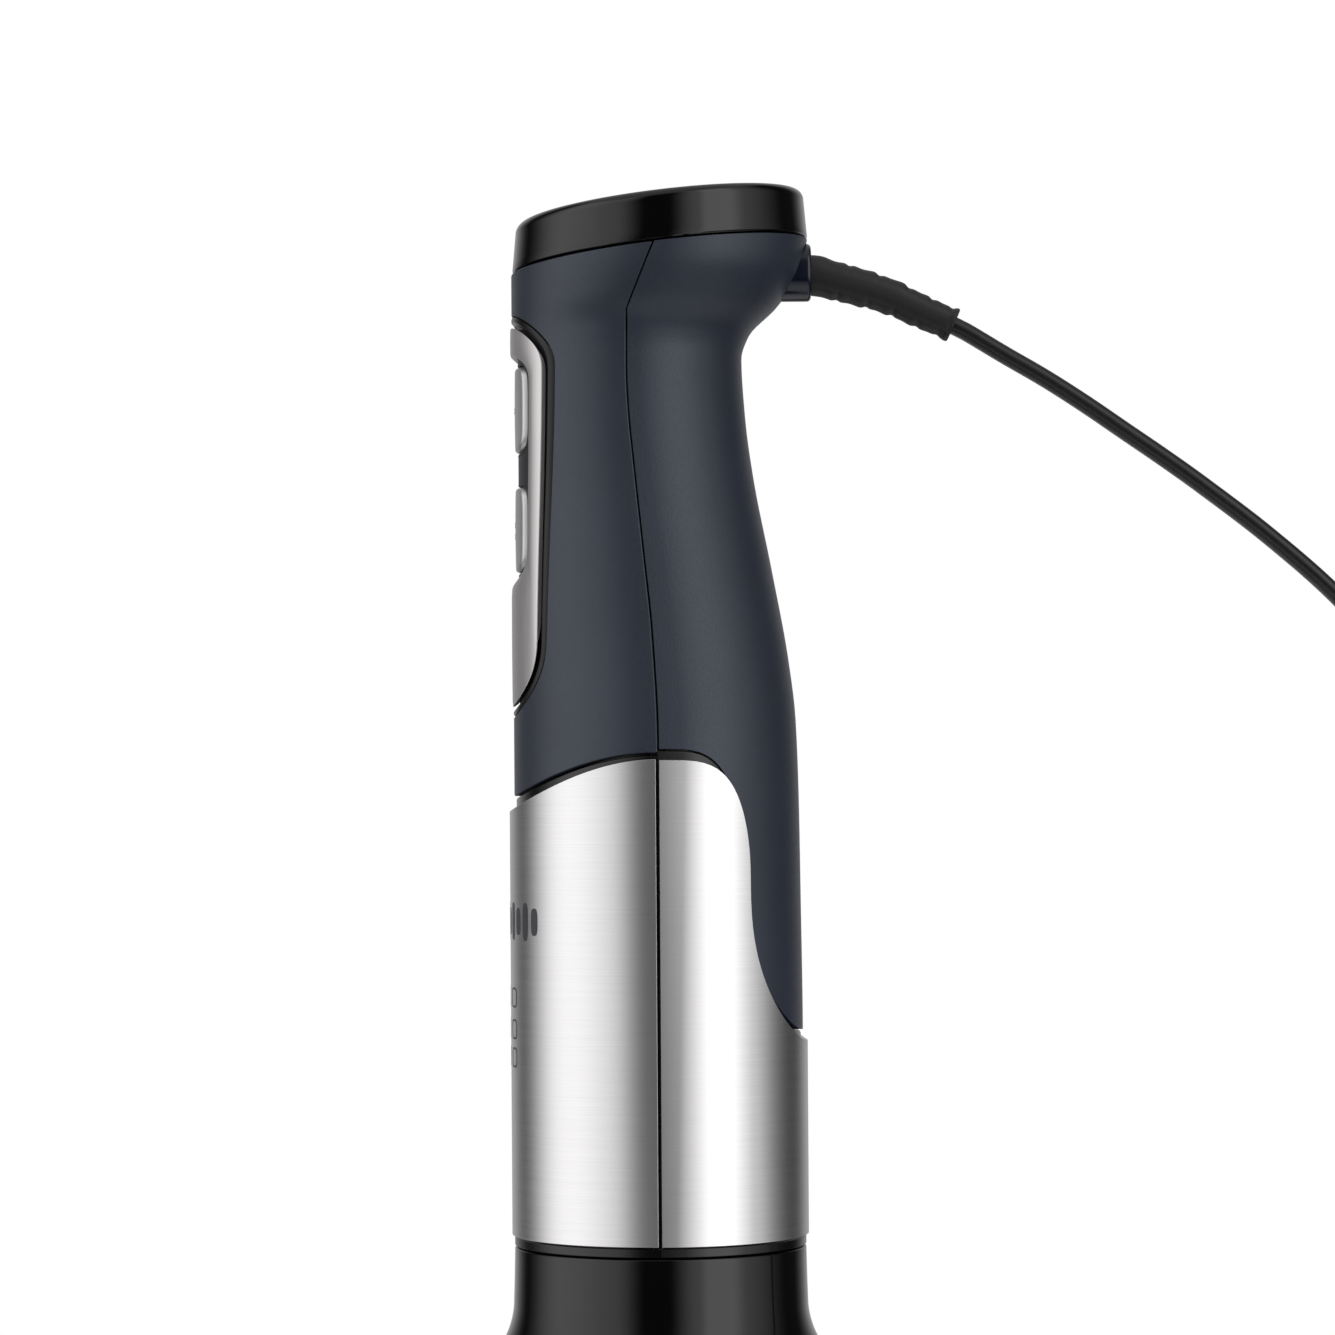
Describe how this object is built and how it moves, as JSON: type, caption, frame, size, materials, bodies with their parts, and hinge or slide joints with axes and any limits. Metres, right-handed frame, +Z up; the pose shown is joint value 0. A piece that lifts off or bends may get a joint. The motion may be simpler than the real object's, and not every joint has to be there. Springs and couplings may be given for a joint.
{
  "type": "hand blender with mini chopper",
  "caption": "Mains hand blender motor unit with side-facing push buttons and a flat cord, standing locked on a mini chopper with a clear bowl and a dark lid.",
  "frame": {"origin": "on the table, on the drive axis, under the middle of the chopper's base ring", "axes": "+Z up along the drive axis; the buttons face -X; the cord leaves towards +X; +Y is across"},
  "size_m": [0.2656, 0.1258, 0.3713],
  "materials": {
    "rubber": "matt black rubber",
    "clear_plastic": "clear moulded plastic",
    "steel": "plain machined steel",
    "black_plastic": "satin black",
    "gloss_black": "high gloss black",
    "pale_plastic": "natural moulded plastic",
    "soft_grip": "satin soft-touch, dark slate",
    "brushed_steel": "brushed round the axis",
    "grey_trim": "satin dark grey",
    "membrane": "soft dark membrane",
    "button_grey": "silver grey satin",
    "gland_gloss": "glossy dark navy",
    "board_green": "solder mask green",
    "copper": "enamelled copper",
    "brass": "plain brass",
    "carbon": "matt carbon",
    "cord_black": "satin black flexible plastic",
    "plug_pin_metal": "nickel plated"
  },
  "bodies": {
    "bowl": {"base_ring": "rubber", "chopper_bowl": "clear_plastic", "bowl_pin": "steel"},
    "blades": {"blade_hub": "black_plastic", "lower_blade": "steel", "upper_blade": "steel"},
    "lid": {"chopper_lid": "gloss_black", "lid_bush": "pale_plastic", "lid_seal": "rubber"},
    "lid_drive": {"lid_coupling": "pale_plastic"},
    "lock_ring": {"bayonet_ring": "black_plastic"},
    "motor_unit": {"front_inner_housing": "black_plastic", "rear_inner_housing": "black_plastic", "front_grip_shell": "soft_grip", "rear_grip_shell": "soft_grip", "front_steel_plate": "brushed_steel", "rear_steel_plate": "brushed_steel", "top_cap": "gloss_black", "bezel_surround": "grey_trim", "control_bezel": "brushed_steel", "button_membrane": "membrane", "circuit_board": "board_green", "switch_carrier": "pale_plastic", "speed_switch": "black_plastic", "turbo_switch": "black_plastic", "cord_gland": "gland_gloss", "strain_relief": "cord_black", "cord_clamp": "pale_plastic", "clamp_screw_left": "steel", "clamp_screw_right": "steel", "lead_wires": "cord_black", "damper_ring": "rubber", "lower_motor_bracket": "pale_plastic", "lower_bearing": "steel", "stator_core": "steel", "field_coil_left": "copper", "field_coil_right": "copper", "upper_motor_bracket": "pale_plastic", "motor_screw_front": "steel", "motor_screw_rear": "steel", "upper_bearing": "steel", "brush_holder_front": "brass", "brush_holder_rear": "brass", "carbon_brush_front": "carbon", "carbon_brush_rear": "carbon", "power_cord": "cord_black", "cord_coil": "cord_black", "cord_tail": "cord_black", "power_plug": "cord_black", "plug_pin_left": "plug_pin_metal", "plug_pin_right": "plug_pin_metal"},
    "rotor": {"motor_shaft": "steel", "armature_core": "steel", "armature_winding_lower": "copper", "armature_winding_upper": "copper", "commutator": "copper", "cooling_fan": "pale_plastic", "drive_coupling": "pale_plastic"},
    "speed_button_body": {"speed_button": "button_grey"},
    "turbo_button_body": {"turbo_button": "button_grey"}
  },
  "joints": [
    {"name": "lid_lift", "type": "slide", "parent": "bowl", "child": "lid", "axis": [0, 0, 1], "range_m": [0, 0.05]},
    {"name": "lock_turn", "type": "hinge", "parent": "lid", "child": "lock_ring", "pos_m": [0, 0, 0.1125], "axis": [0, 0, 1], "range_deg": [0, 20]},
    {"name": "unit_lift", "type": "slide", "parent": "lock_ring", "child": "motor_unit", "axis": [0, 0, 1], "range_m": [0, 0.06]},
    {"name": "rotor_spin", "type": "hinge", "parent": "motor_unit", "child": "rotor", "pos_m": [0, 0, 0.18], "axis": [0, 0, 1], "continuous": true},
    {"name": "lid_coupling_spin", "type": "hinge", "parent": "lid", "child": "lid_drive", "pos_m": [0, 0, 0.105], "axis": [0, 0, 1], "continuous": true},
    {"name": "blade_spin", "type": "hinge", "parent": "bowl", "child": "blades", "pos_m": [0, 0, 0.04], "axis": [0, 0, 1], "continuous": true},
    {"name": "speed_press", "type": "slide", "parent": "motor_unit", "child": "speed_button_body", "axis": [1, 0, 0], "range_m": [0, 0.0015], "stiffness_N_per_m": 1500},
    {"name": "turbo_press", "type": "slide", "parent": "motor_unit", "child": "turbo_button_body", "axis": [1, 0, 0], "range_m": [0, 0.0015], "stiffness_N_per_m": 1500}
  ],
  "couplings": [
    {"joint": "lid_coupling_spin", "follows": "rotor_spin", "ratio": 1},
    {"joint": "blade_spin", "follows": "rotor_spin", "ratio": 1}
  ]
}
